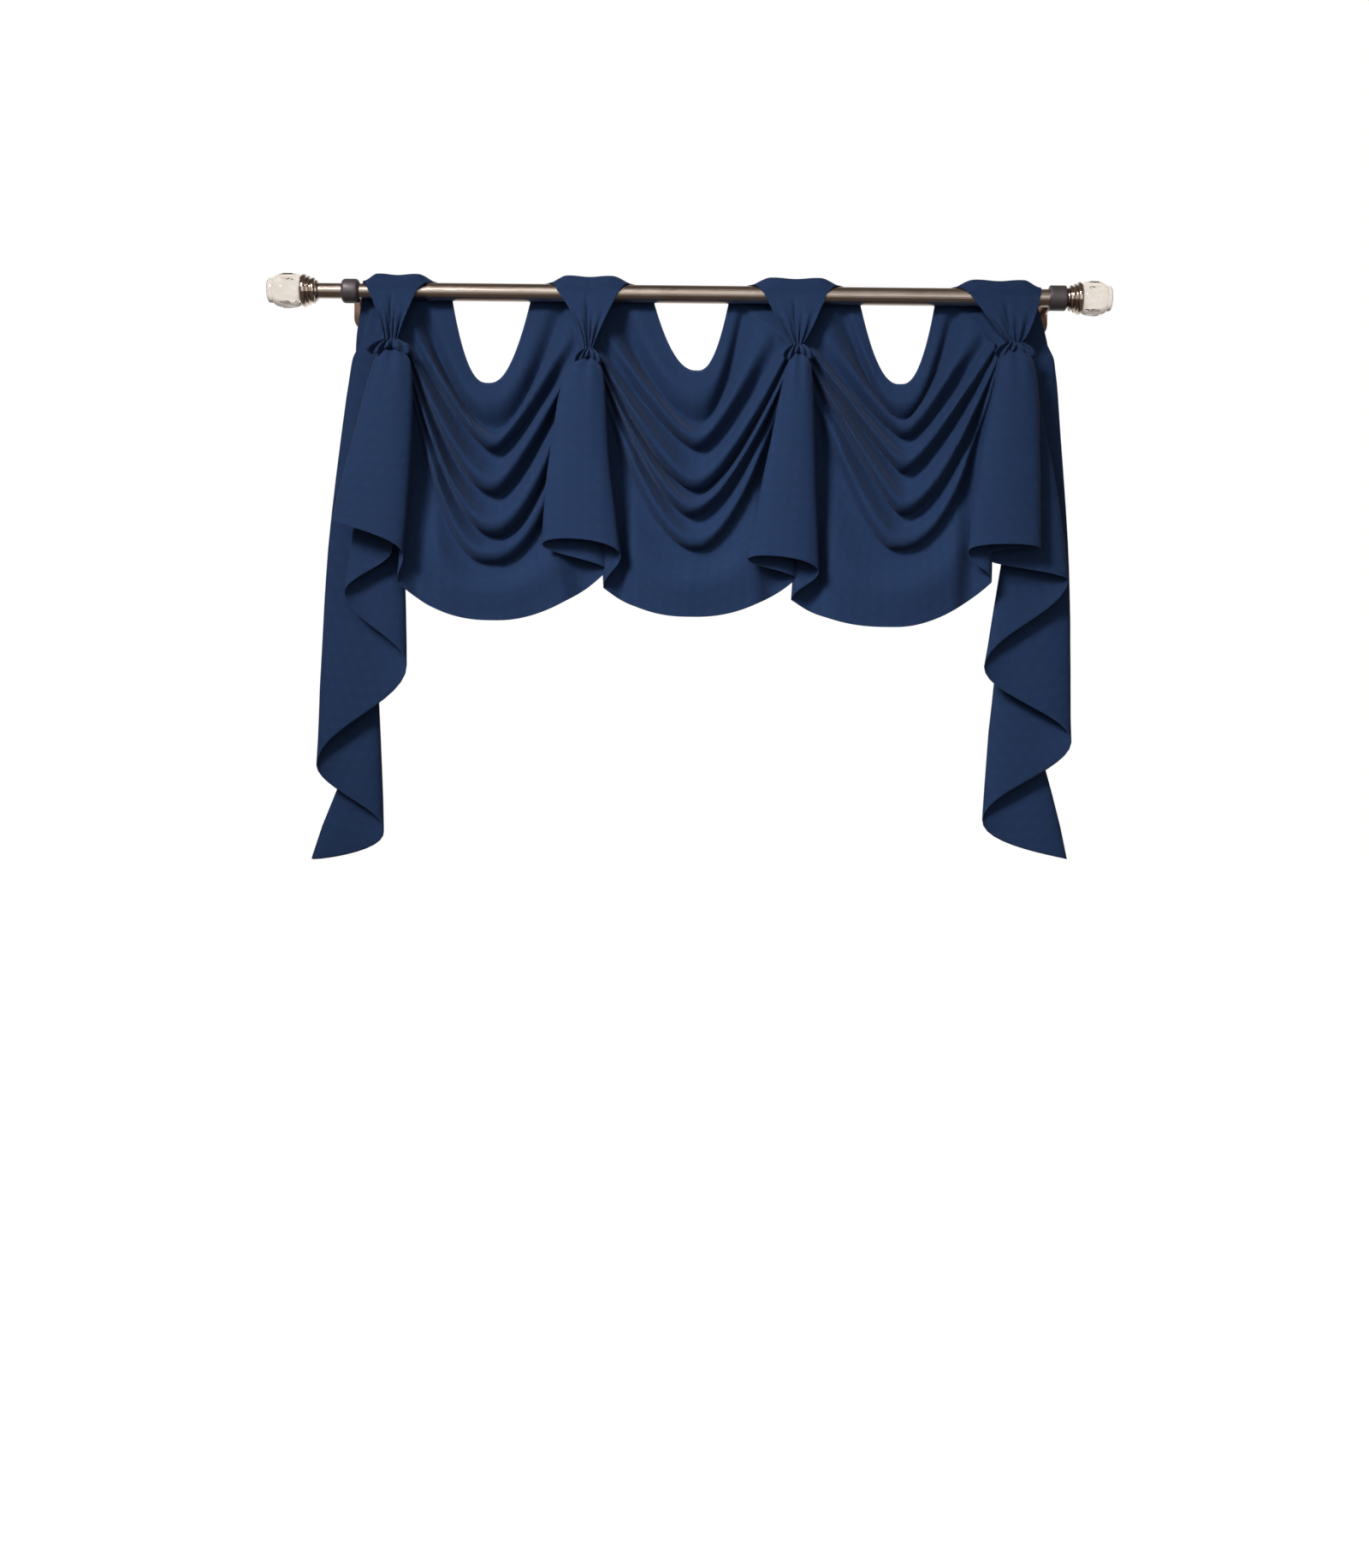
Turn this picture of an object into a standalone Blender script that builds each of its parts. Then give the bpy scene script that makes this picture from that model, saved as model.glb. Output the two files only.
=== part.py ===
"""Swag valance of three swags and two cascade tails, draped on a rod between two wall brackets.

The origin is on the wall, midway along the rod and level with its axis. +X runs along the
rod, +Y points into the wall and +Z is up. Sizes are in millimetres until place() turns them into
metres. The word out means how far a point stands in front of the rod's axis.
"""

import math

import bmesh
import bpy
from mathutils import Vector

MM = 0.001
COLLECTION = "swag_valance_on_rod"

# Rod and brackets
ROD_OUT = 80.0
TUBE_R = 9.75
TUBE_WALL = 1.0
TUBE_LEFT, TUBE_RIGHT = -291.0, 418.0
LIP_R, LIP_WIDTH = 10.2, 5.0
SLIDER_R = 8.4
SLIDER_LEFT, SLIDER_RIGHT = -412.0, -170.0
GAP = 0.3
CUP_WALL = 3.8
ARM_R = 4.5
PLATE_WIDTH, PLATE_HEIGHT, PLATE_THICK = 30.0, 54.0, 4.0
ROUND_STEPS = 32

# Cloth
CLOTH_THICK = 2.0
ROLL_R = 11.6
BACK_DROP = -9.0
CLOTH_FACES = 5000

# Height along a hanging line, from 0 at the back of the rod to 1 at the hem
KNOTS = (0.0, 0.15, 0.27, 0.55, 1.0)
KNEE_DROP = 32.0

# Swag rows from the scoop down to the hem. ROW_END: how far down the side seams the row starts,
# where below 0 is along the rod towards the scoop. ROW_OUT: how far in front of the rod's axis the
# row's lowest point is
ROWS = ("scoop", "roll", "dip", "fold_1", "crease_1", "fold_2", "crease_2", "fold_3", "crease_3",
        "fold_4", "crease_4", "apron", "hem")
ROW_END = (-1.0, -0.5, 0.0, 0.07, 0.12, 0.145, 0.165, 0.19, 0.215, 0.25, 0.31, 0.62, 1.0)
ROW_OUT = (1, 6, 2, 21, 10, 30, 17, 38, 26, 40, 31, 40, 38)

# Lowest point of each row: x, z, bow of the left half, bow of the right half
SWAGS = {
    "left": {"scoop": (-264, -178), "rows": (
        (-223, -101, 2.2, 2.2), (-220, -123, 2.0, 2.0), (-214, -152, 1.7, 1.6), (-213, -167, 1.4, 1.25),
        (-213, -180, 1.35, 1.2), (-212, -213, 1.5, 1.2), (-212, -227, 1.7, 1.2), (-211, -260, 1.75, 1.6),
        (-211, -273, 1.75, 1.8), (-214, -292, 2.0, 2.1), (-216, -305, 2.1, 2.3), (-213, -333, 2.5, 2.3),
        (-210, -367, 2.3, 1.9))},
    "middle": {"scoop": (-39, 43), "rows": (
        (9, -85, 2.1, 2.2), (10, -113, 1.9, 2.2), (13, -143, 1.6, 1.8), (11, -161, 1.3, 1.35),
        (11, -175, 1.25, 1.3), (9, -207, 1.35, 1.4), (9, -220, 1.4, 1.4), (6, -239, 1.4, 1.5),
        (5, -251, 1.4, 1.5), (9, -276, 1.6, 1.7), (11, -288, 1.8, 1.75), (8, -324, 2.3, 2.2),
        (5, -361, 2.2, 2.1))},
    "right": {"scoop": (191, 273), "rows": (
        (235, -98, 2.2, 2.2), (238, -118, 2.0, 2.0), (239, -136, 1.6, 1.5), (240, -147, 1.3, 1.2),
        (240, -159, 1.2, 1.15), (238, -186, 1.1, 1.2), (238, -199, 1.05, 1.2), (236, -233, 1.1, 1.5),
        (235, -246, 1.1, 1.65), (229, -274, 1.3, 2.1), (226, -286, 1.4, 2.3), (225, -330, 2.1, 2.4),
        (225, -370, 2.4, 1.9))},
}
VEE_ROUND = 0.04

# Gathers. z: height of the gather; arch: how far the front panel's hem rises; top, front and tip:
# the peak's left and right edge over the rod, in front of it and at the gather; close: how fast
# its left and right edges draw in on the way down.
# lines, from the left seam or the right one outward: x at the rod, then x and out at the gather,
# at the knee below it and half way down, then x, z and out at the hem
GATHERS = {
    "g1": {"z": -60, "arch": 5.0, "top": (-363, -284), "front": (-356, -301),
           "tip": (-335, -320), "close": (1.4, 1.05),
     "lines": (
        ("seam_r", -303, -313, 16, -310, 23, -309, 33, -316, -326, 34),
        ("front_r", -311, -318, 20, -303, 38, -302, 49, -308, -297, 54),
        ("front_l", -319, -333, 21, -346, 37, -366, 49, -386, -262, 53),
        ("hidden", -326, -336, 15, -331, 27, -326, 36, -322, -290, 39),
        ("fold_a", -334, -343, 8, -350, 17, -362, 23, -375, -338, 24),
        ("fold_b", -342, -348, 3, -340, 7, -316, 9, -309, -415, 7),
        ("fold_c", -350, -369, -2, -377, -3, -400, -6, -411, -527, -11),
        ("fold_d", -358, -362, -7, -357, -12, -349, -22, -337, -599, -29),
        ("edge", -366, -365, -12, -360, -18, -335, -34, -422, -632, -44))},
    "g2": {"z": -68, "arch": 10.0, "top": (-156, -66), "front": (-146, -78),
           "tip": (-115, -106), "close": (1.5, 1.1),
     "lines": (
        ("seam_l", -140, -117, 16, -114, 23, -102, 33, -87, -312, 37),
        ("front_l", -124, -115, 21, -136, 40, -150, 51, -157, -285, 55),
        ("front_r", -104, -104, 21, -93, 39, -85, 50, -72, -296, 54),
        ("seam_r", -88, -102, 16, -100, 23, -97, 29, -91, -330, 32))},
    "g3": {"z": -61, "arch": 8.0, "top": (68, 167), "front": (82, 152),
           "tip": (114, 124), "close": (0.8, 0.8),
     "lines": (
        ("seam_l", 62, 112, 16, 111, 23, 113, 33, 119, -319, 37),
        ("front_l", 104, 114, 21, 106, 39, 85, 51, 66, -299, 55),
        ("front_r", 136, 127, 21, 135, 39, 138, 50, 143, -312, 54),
        ("seam_r", 168, 129, 16, 128, 23, 121, 29, 115, -341, 32))},
    "g4": {"z": -56, "arch": 5.0, "top": (294, 390), "front": (311, 388),
           "tip": (350, 364), "close": (0.8, 0.65),
     "lines": (
        ("seam_l", 298, 339, 16, 338, 23, 334, 33, 332, -318, 34),
        ("front_l", 318, 341, 21, 338, 38, 318, 50, 304, -287, 54),
        ("front_r", 335, 363, 21, 378, 38, 382, 49, 383, -285, 53),
        ("hidden", 345, 363, 15, 364, 27, 354, 36, 341, -296, 39),
        ("fold_a", 355, 371, 8, 380, 17, 403, 23, 419, -316, 24),
        ("fold_b", 364, 374, 3, 370, 7, 354, 9, 330, -410, 7),
        ("fold_c", 373, 395, -2, 402, -3, 424, -6, 431, -493, -11),
        ("fold_d", 381, 387, -7, 379, -12, 354, -22, 335, -580, -29),
        ("edge", 389, 389, -12, 385, -18, 372, -34, 434, -624, -44))},
}
PANEL_COLUMNS = 8
PANEL_BELLY = 9.0
FRONT_SOFT = 0.75
TIP_SAG = 11.0
TAB_LIFT = 8.5
TAB_FORWARD = 14.0
TAB_BULGE = 5.0
GATHER_GAP = 2.0
SWAG_COLUMNS = 18


def place(x, z, out):
    """Point in metres from millimetres across, up and in front of the rod's axis."""
    return Vector((x * MM, -(ROD_OUT + out) * MM, z * MM))


def smooth(knots, values, at):
    """Cubic curve through values at the knots, with the slope between a knot's neighbours."""
    last = len(knots) - 1
    k = max(i for i in range(last) if knots[i] <= at or i == 0)
    slopes = []
    for i in (k, k + 1):
        low, high = max(i - 1, 0), min(i + 1, last)
        slopes.append((values[high] - values[low]) / (knots[high] - knots[low]))
    step = knots[k + 1] - knots[k]
    f = (at - knots[k]) / step
    return ((2 * f**3 - 3 * f**2 + 1) * values[k] + (f**3 - 2 * f**2 + f) * step * slopes[0]
            + (3 * f**2 - 2 * f**3) * values[k + 1] + (f**3 - f**2) * step * slopes[1])


def hanging_line(gather, row, v):
    """x, z and out on one hanging line of a gather, v of the way from the rod to the hem."""
    _, rod_x, pin_x, pin_out, knee_x, knee_out, mid_x, mid_out, hem_x, hem_z, hem_out = row
    knee_z = gather["z"] - KNEE_DROP
    return (smooth(KNOTS, (rod_x, pin_x, knee_x, mid_x, hem_x), v),
            smooth(KNOTS, (BACK_DROP, gather["z"], knee_z, (knee_z + hem_z) / 2, hem_z), v),
            smooth(KNOTS, (-ROLL_R, pin_out, knee_out, mid_out, hem_out), v))


def row_ends():
    """Where each fine row of a swag starts along the seam, from the scoop to the hem."""
    per_row = 2
    spots = []
    for k in range(len(ROWS) - 1):
        spots += [k + i / per_row for i in range(per_row)]
    return spots + [len(ROWS) - 1.0]


def end_height(t):
    """Height along the seam of the swag row t, from the table of row ends."""
    k = min(int(t), len(ROW_END) - 2)
    return ROW_END[k] + (ROW_END[k + 1] - ROW_END[k]) * (t - k)


def seam_point(gather, row, scoop_x, t):
    """End of the swag row t: on the back of the rod above the first fold, then on the seam."""
    v = end_height(t)
    if v > 0:
        return hanging_line(gather, row, v)
    x, z, out = hanging_line(gather, row, 0)
    return x + (scoop_x - x) * -v, z, out


def rounded(away):
    """Distance from the swag's middle, 0 to 1, with a round turn at the middle."""
    return ((away**2 + VEE_ROUND**2) ** 0.5 - VEE_ROUND) / ((1 + VEE_ROUND**2) ** 0.5 - VEE_ROUND)


def swag_grid(swag, left, right, columns):
    """Rows of points over one swag, from its scooped top edge to its hem."""
    grid = []
    knots = range(len(ROWS))
    for t in row_ends():
        low_x, low_z, bow_left, bow_right = (
            smooth(knots, [row[i] for row in swag["rows"]], t) for i in range(4))
        low_out = smooth(knots, ROW_OUT, t)
        ends = (seam_point(left, left["lines"][-1 if left["lines"][-1][0] == "seam_r" else 0],
                           swag["scoop"][0], t),
                seam_point(right, right["lines"][0], swag["scoop"][1], t))
        line = []
        for i in range(columns + 1):
            s = 2 * i / columns
            end, bow, reach = (ends[0], bow_left, s) if s <= 1 else (ends[1], bow_right, 2 - s)
            drop = 1 - rounded(1 - reach) ** bow
            swell = math.sin(math.pi / 2 * reach) ** 0.8
            line.append(place(end[0] + (low_x - end[0]) * reach,
                              end[1] + (low_z - end[1]) * drop,
                              end[2] + (low_out - end[2]) * swell))
        grid.append(line)
    return grid


def ease(value, low, high):
    """0 below low, 1 above high and a soft step between them."""
    part = min(max((value - low) / (high - low), 0.0), 1.0)
    return part * part * (3 - 2 * part)


def panel_points(start, end, soft, belly, arch):
    """Points across one hanging panel, level in the middle and turning round at both folds."""
    points = []
    for i in range(PANEL_COLUMNS + 1):
        u = i / PANEL_COLUMNS
        turned_in = (1 - math.cos(math.pi * u)) / 2
        across = u + (turned_in - u) * soft
        layer = u + math.sin(2 * math.pi * u) / (2 * math.pi)
        rise = 4 * u * (1 - u)
        points.append(place(start[0] + (end[0] - start[0]) * across,
                            start[1] + (end[1] - start[1]) * u + arch * rise,
                            start[2] + (end[2] - start[2]) * layer + belly * rise))
    return points


def fan_grid(gather, heights):
    """Rows of points over the folded panels that hang from one gather, seam to seam or edge."""
    grid = []
    lines = gather["lines"]
    for v in heights:
        ends = [hanging_line(gather, row, v) for row in lines]
        line = []
        for k in range(len(lines) - 1):
            front = {lines[k][0], lines[k + 1][0]} == {"front_l", "front_r"}
            behind = lines[k + 1][0] == "hidden"
            soft = FRONT_SOFT if front or behind else 1.0
            belly = PANEL_BELLY * ease(v, 0.1, 0.3) if front else 0
            arch = gather["arch"] * v**4 if front or behind else 0
            if lines[k + 1][0] == "edge":
                arch -= TIP_SAG * v**3
            points = panel_points(ends[k], ends[k + 1], soft, belly, arch)
            line += points if k == 0 else points[1:]
        grid.append(line)
    return grid


def tab_grid(gather, back):
    """Rows of points over one peak: up the rod's back, over it, down to the gather and its frill."""
    top, front, tip = gather["top"], gather["front"], gather["tip"]
    low, high = back[0].x / MM, back[-1].x / MM
    share = [(p.x / MM - low) / (high - low) for p in back]
    grid = [[Vector(p) for p in back]]
    over = 8
    for i in range(over + 1):
        gone = i / over
        angle = math.pi * gone
        half = min(int(2 * gone), 1)
        line = []
        for p, f in zip(back, share):
            ends = (p.x / MM, top[0] + (top[1] - top[0]) * f, front[0] + (front[1] - front[0]) * f)
            hump = ease(f, 0.0, 0.2) * ease(1 - f, 0.0, 0.2)
            line.append(place(ends[half] + (ends[half + 1] - ends[half]) * (2 * gone - half),
                              (ROLL_R + TAB_LIFT * hump) * math.sin(angle),
                              -(ROLL_R + 0.25 * TAB_LIFT * hump * math.sin(angle)) * math.cos(angle)))
        grid.append(line)
    down = 6
    for i in range(1, down + 1):
        part = i / down
        line = []
        for f in share:
            wide = front[0] + (front[1] - front[0]) * f
            pinned = tip[0] + (tip[1] - tip[0]) * f
            close = gather["close"][0] + (gather["close"][1] - gather["close"][0]) * f
            line.append(place(pinned + (wide - pinned) * (1 - part) ** close,
                              (gather["z"] + GATHER_GAP) * part,
                              ROLL_R + TAB_FORWARD * part + TAB_BULGE * math.sin(math.pi * part)))
        grid.append(line)
    return grid


def add_grid(mesh, grid):
    """Quads over one grid of points."""
    rows = [[mesh.verts.new(p) for p in line] for line in grid]
    for upper, lower in zip(rows, rows[1:]):
        for i in range(len(upper) - 1):
            mesh.faces.new((upper[i], upper[i + 1], lower[i + 1], lower[i]))


def new_object(name, mesh, collection, colour, roughness, metallic=0.0, glass=0.0):
    """Object in the part's collection with its own Principled material."""
    thing = bpy.data.objects.new(name, mesh)
    collection.objects.link(thing)
    material = bpy.data.materials.new(name)
    material.use_nodes = True
    shader = material.node_tree.nodes["Principled BSDF"]
    shader.inputs["Base Color"].default_value = (*colour, 1.0)
    shader.inputs["Roughness"].default_value = roughness
    shader.inputs["Metallic"].default_value = metallic
    shader.inputs["Transmission Weight"].default_value = glass
    mesh.materials.append(material)
    return thing


def make_cloth(collection):
    """The valance: one cloth of three swags, four gathered peaks, two horns and two tails."""
    mesh = bmesh.new()
    order = ("g1", "g2", "g3", "g4")
    tops = {}
    heights = [end_height(t) for t in row_ends() if end_height(t) >= 0]
    for name in order:
        fan = fan_grid(GATHERS[name], heights)
        add_grid(mesh, fan)
        tops[name] = list(fan[0])
    for k, side in enumerate(("left", "middle", "right")):
        left, right = GATHERS[order[k]], GATHERS[order[k + 1]]
        grid = swag_grid(SWAGS[side], left, right, SWAG_COLUMNS)
        add_grid(mesh, grid)
        on_rod = [line for line, t in zip(grid, row_ends()) if end_height(t) < 0]
        tops[order[k]] += [line[0] for line in on_rod]
        tops[order[k + 1]] += [line[-1] for line in on_rod]
    for name in order:
        back = sorted(tops[name], key=lambda p: p.x)
        add_grid(mesh, tab_grid(GATHERS[name], back))
    bmesh.ops.remove_doubles(mesh, verts=mesh.verts, dist=0.00005)
    bmesh.ops.dissolve_degenerate(mesh, edges=mesh.edges, dist=0.00005)
    bmesh.ops.triangulate(mesh, faces=mesh.faces)
    bmesh.ops.recalc_face_normals(mesh, faces=mesh.faces)
    data = bpy.data.meshes.new("valance_cloth")
    mesh.to_mesh(data)
    faces = len(mesh.faces)
    mesh.free()
    data.shade_smooth()
    cloth = new_object("valance_cloth", data, collection, (0.022, 0.048, 0.13), 0.85)
    fewer = cloth.modifiers.new("fewer_faces", "DECIMATE")
    fewer.ratio = min(1.0, CLOTH_FACES / faces)
    thick = cloth.modifiers.new("cloth_thickness", "SOLIDIFY")
    thick.thickness = CLOTH_THICK * MM
    thick.offset = 0.0
    thick.use_even_offset = False
    return cloth


def turned(name, profile, collection, colour, roughness, metallic=0.0, glass=0.0):
    """Round piece along the rod: profile rows are x along the rod and radius, in millimetres."""
    mesh = bmesh.new()
    verts = [mesh.verts.new((radius * MM, 0, x * MM)) for x, radius in profile]
    for a, b in zip(verts, verts[1:]):
        mesh.edges.new((a, b))
    data = bpy.data.meshes.new(name)
    mesh.to_mesh(data)
    mesh.free()
    thing = new_object(name, data, collection, colour, roughness, metallic, glass)
    spin = thing.modifiers.new("turn", "SCREW")
    spin.steps = ROUND_STEPS
    spin.render_steps = ROUND_STEPS
    spin.use_merge_vertices = True
    spin.merge_threshold = 0.00001
    thing.rotation_euler = (0, math.pi / 2, 0)
    thing.location = place(0, 0, 0)
    return thing


def tube_profile(left, right, radius, wall, lip=None):
    """Closed loop of a tube's section, out along its skin and back through its bore."""
    outer = [(right, radius), (left, radius)]
    if lip:
        outer = [(right, radius), (left + lip[1], radius), (left + lip[1], lip[0]), (left, lip[0])]
    return outer + [(left, radius - wall), (right, radius - wall), (right, radius)]


def make_rod(collection):
    """Outer tube on the right and the thinner tube that slides in it on the left."""
    turned("rod_tube", tube_profile(TUBE_LEFT, TUBE_RIGHT, TUBE_R, TUBE_WALL, (LIP_R, LIP_WIDTH)),
           collection, (0.62, 0.54, 0.47), 0.3, 1.0)
    turned("rod_slider", tube_profile(SLIDER_LEFT, SLIDER_RIGHT, SLIDER_R, TUBE_WALL),
           collection, (0.62, 0.54, 0.47), 0.3, 1.0)


# Finial: distance outward from the end of the tube and radius
RINGS = ((-8, 0), (-8, 6.2), (0.3, 6.2), (0.3, 11.0), (3, 11.5), (4, 14.0), (7, 14.0), (7.6, 12.8),
         (8.6, 15.8), (11, 15.8), (11.8, 14.6), (13, 17.6), (17, 17.8), (19, 16.5), (19, 0))
GLASS = ((19.3, 0), (19.3, 16.2), (22, 18.2), (28, 19.6), (36, 19.6), (43, 18.2), (49, 15.0),
         (51, 14.2), (54.5, 13.8), (56.0, 12.6), (56.0, 0))


def make_finials(collection):
    """Cut glass barrel on stepped nickel rings, with a plug that sits in the end of the tube."""
    for side, end, sign in (("left", SLIDER_LEFT, -1), ("right", TUBE_RIGHT, 1)):
        shrink = 1.0 if side == "left" else 50.0 / 56.0
        for name, rows, looks in (
                (f"finial_rings_{side}", RINGS, {"colour": (0.7, 0.62, 0.54), "roughness": 0.15,
                                                 "metallic": 1.0}),
                (f"finial_glass_{side}", GLASS, {"colour": (0.9, 0.87, 0.82), "roughness": 0.05,
                                                 "glass": 0.9})):
            profile = [(end + sign * x * (shrink if x > 0.3 else 1), r) for x, r in rows]
            if sign > 0:
                profile.reverse()
            turned(name, profile, collection, **looks)


# Brackets: where the cup starts and ends on the rod, the tube it grips and the plate's middle
BRACKETS = (("left", -386.0, -366.5, SLIDER_R, -370.0), ("right", 399.0, 417.5, TUBE_R, 396.0))


def solid_primitive(mesh, name):
    """Temporary object that holds one primitive for a union."""
    data = bpy.data.meshes.new(name)
    mesh.to_mesh(data)
    mesh.free()
    thing = bpy.data.objects.new(name, data)
    bpy.context.scene.collection.objects.link(thing)
    return thing


def make_brackets(collection, cutters):
    """Dark cup round the rod at each end, on an arm from an oval plate on the wall."""
    for side, left, right, grips, plate_x in BRACKETS:
        inside = grips + GAP
        outside = inside + CUP_WALL + (0.8 if side == "left" else 0.0)
        turned(f"bracket_cup_{side}", [(right, outside - 0.8), (right - 1, outside), (left + 1, outside),
                                       (left, outside - 0.8), (left, inside), (right, inside),
                                       (right, outside - 0.8)],
               collection, (0.12, 0.11, 0.12), 0.5, 0.6)
        arm_x = min(max(plate_x, left + ARM_R + 1), right - ARM_R - 1)
        start = Vector((arm_x, -(ROD_OUT - outside - GAP), 0)) * MM
        finish = Vector((arm_x, -PLATE_THICK / 2, 0)) * MM
        mesh = bmesh.new()
        bmesh.ops.create_cone(mesh, cap_ends=True, segments=20, radius1=ARM_R * MM,
                              radius2=ARM_R * MM, depth=(finish - start).length)
        arm = solid_primitive(mesh, f"arm_{side}")
        arm.location = (start + finish) / 2
        arm.rotation_mode = "QUATERNION"
        arm.rotation_quaternion = Vector((0, 0, 1)).rotation_difference(finish - start)
        arm.hide_render = True
        arm.display_type = "WIRE"
        bpy.context.scene.collection.objects.unlink(arm)
        cutters.objects.link(arm)
        plate = oval_plate(f"bracket_plate_{side}", collection)
        plate.location = Vector((plate_x, 0, 0)) * MM
        joined = plate.modifiers.new("arm", "BOOLEAN")
        joined.operation = "UNION"
        joined.solver = "EXACT"
        joined.object = arm


def oval_plate(name, collection):
    """Wall plate with round ends, its back face on the wall."""
    mesh = bmesh.new()
    radius = PLATE_WIDTH / 2
    straight = PLATE_HEIGHT / 2 - radius
    steps = 12
    outline = []
    for centre, first in ((straight, 0.0), (-straight, math.pi)):
        for i in range(steps + 1):
            angle = first + math.pi * i / steps
            outline.append((radius * math.cos(angle), centre + radius * math.sin(angle)))
    verts = [mesh.verts.new((x * MM, 0, z * MM)) for x, z in outline]
    face = mesh.faces.new(verts)
    grown = bmesh.ops.extrude_face_region(mesh, geom=[face])
    moved = [v for v in grown["geom"] if isinstance(v, bmesh.types.BMVert)]
    bmesh.ops.translate(mesh, verts=moved, vec=(0, -PLATE_THICK * MM, 0))
    bmesh.ops.recalc_face_normals(mesh, faces=mesh.faces)
    data = bpy.data.meshes.new(name)
    mesh.to_mesh(data)
    mesh.free()
    return new_object(name, data, collection, (0.36, 0.24, 0.16), 0.35, 1.0)


def build():
    """Clears the scene and makes every piece."""
    for thing in list(bpy.data.objects):
        bpy.data.objects.remove(thing)
    collection = bpy.data.collections.new(COLLECTION)
    cutters = bpy.data.collections.new("cutters")
    bpy.context.scene.collection.children.link(collection)
    bpy.context.scene.collection.children.link(cutters)
    make_cloth(collection)
    make_rod(collection)
    make_finials(collection)
    make_brackets(collection, cutters)


build()
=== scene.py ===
import math

import bmesh
import bpy
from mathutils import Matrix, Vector, noise


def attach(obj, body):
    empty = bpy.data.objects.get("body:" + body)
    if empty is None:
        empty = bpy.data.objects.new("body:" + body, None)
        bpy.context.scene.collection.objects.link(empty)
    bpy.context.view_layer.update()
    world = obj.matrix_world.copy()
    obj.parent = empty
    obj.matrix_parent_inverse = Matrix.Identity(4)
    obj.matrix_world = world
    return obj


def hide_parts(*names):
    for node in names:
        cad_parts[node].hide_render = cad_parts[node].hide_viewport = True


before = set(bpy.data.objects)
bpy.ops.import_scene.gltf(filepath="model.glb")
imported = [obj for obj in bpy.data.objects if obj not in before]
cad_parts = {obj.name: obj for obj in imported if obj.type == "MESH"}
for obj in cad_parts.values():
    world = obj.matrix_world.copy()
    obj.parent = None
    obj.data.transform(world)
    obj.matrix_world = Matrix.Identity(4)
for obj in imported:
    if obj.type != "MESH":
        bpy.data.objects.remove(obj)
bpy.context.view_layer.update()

# The valance is one navy polyester cloth, hemmed all round. It hangs behind the rod, and four
# peaks of it go over the rod and down to gathers, which throw it into three swags, two horns
# and two cascade tails. Sizes are in millimetres; out is how far a point is in front of the rod.
MM = 0.001
ROD_OUT = 80.0
ROLL_R = 11.0
BACK_DROP = -9.0
CLOTH_THICK = 0.7
KNEE_DROP = 30.0

# Shares of the way down a hanging line at which its table gives a value
KNOTS = (0.0, 0.15, 0.27, 0.55, 1.0)
ROWS_PER_FOLD = 6
SWAG_COLUMNS = 64
PANEL_COLUMNS = 12

# Swag rows from the scoop to the hem: how far down the side seams the row starts (below 0 it is
# along the rod), how far the cloth is drawn forward, the relief of its fold, and how far the
# fold's lip hangs over the crease beneath it
ROWS = (
    ("scoop", -1.0, 3.0, 0.0, 0.0), ("roll", -0.5, 4.0, 4.0, 3.0), ("dip", 0.0, 6.0, -10.0, 0.0),
    ("fold_1", 0.07, 14.0, 10.0, 5.0), ("crease_1", 0.12, 18.0, -12.0, 0.0),
    ("fold_2", 0.145, 22.0, 11.0, 5.0), ("crease_2", 0.165, 26.0, -13.0, 0.0),
    ("fold_3", 0.19, 30.0, 11.0, 4.0), ("crease_3", 0.215, 32.0, -10.0, 0.0),
    ("fold_4", 0.25, 34.5, 7.0, 4.0), ("crease_4", 0.31, 36.0, -8.0, 0.0),
    ("apron", 0.62, 38.0, 3.0, 0.0), ("hem", 1.0, 38.0, 0.0, 0.0))

# Lowest point of each of those rows: x, z, bow of the left half, bow of the right half
SWAGS = (
    ((-264, -178), (
        (-223, -101, 2.2, 2.2), (-220, -123, 2.0, 2.0), (-214, -152, 1.7, 1.6), (-213, -167, 1.4, 1.25),
        (-213, -180, 1.35, 1.2), (-212, -213, 1.5, 1.2), (-212, -227, 1.7, 1.2), (-211, -260, 1.75, 1.6),
        (-211, -273, 1.75, 1.8), (-214, -292, 2.0, 2.1), (-216, -305, 2.1, 2.3), (-213, -333, 2.5, 2.3),
        (-210, -367, 2.3, 1.9))),
    ((-39, 43), (
        (9, -85, 2.1, 2.2), (10, -113, 1.9, 2.2), (13, -143, 1.6, 1.8), (11, -161, 1.3, 1.35),
        (11, -175, 1.25, 1.3), (9, -207, 1.35, 1.4), (9, -220, 1.4, 1.4), (6, -239, 1.4, 1.5),
        (5, -251, 1.4, 1.5), (9, -276, 1.6, 1.7), (11, -288, 1.8, 1.75), (8, -324, 2.3, 2.2),
        (5, -361, 2.2, 2.1))),
    ((191, 273), (
        (235, -98, 2.2, 2.2), (238, -118, 2.0, 2.0), (239, -136, 1.6, 1.5), (240, -147, 1.3, 1.2),
        (240, -159, 1.2, 1.15), (238, -186, 1.1, 1.2), (238, -199, 1.05, 1.2), (236, -233, 1.1, 1.5),
        (235, -246, 1.1, 1.65), (229, -274, 1.3, 2.1), (226, -286, 1.4, 2.3), (225, -330, 2.1, 2.4),
        (225, -370, 2.4, 1.9))))
VEE_ROUND = 0.04
POUCH = 0.6
FOLD_AT_GATHER = 0.45
VALLEY_DEPTH = 10.0
VALLEY_REACH = 0.4

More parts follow.
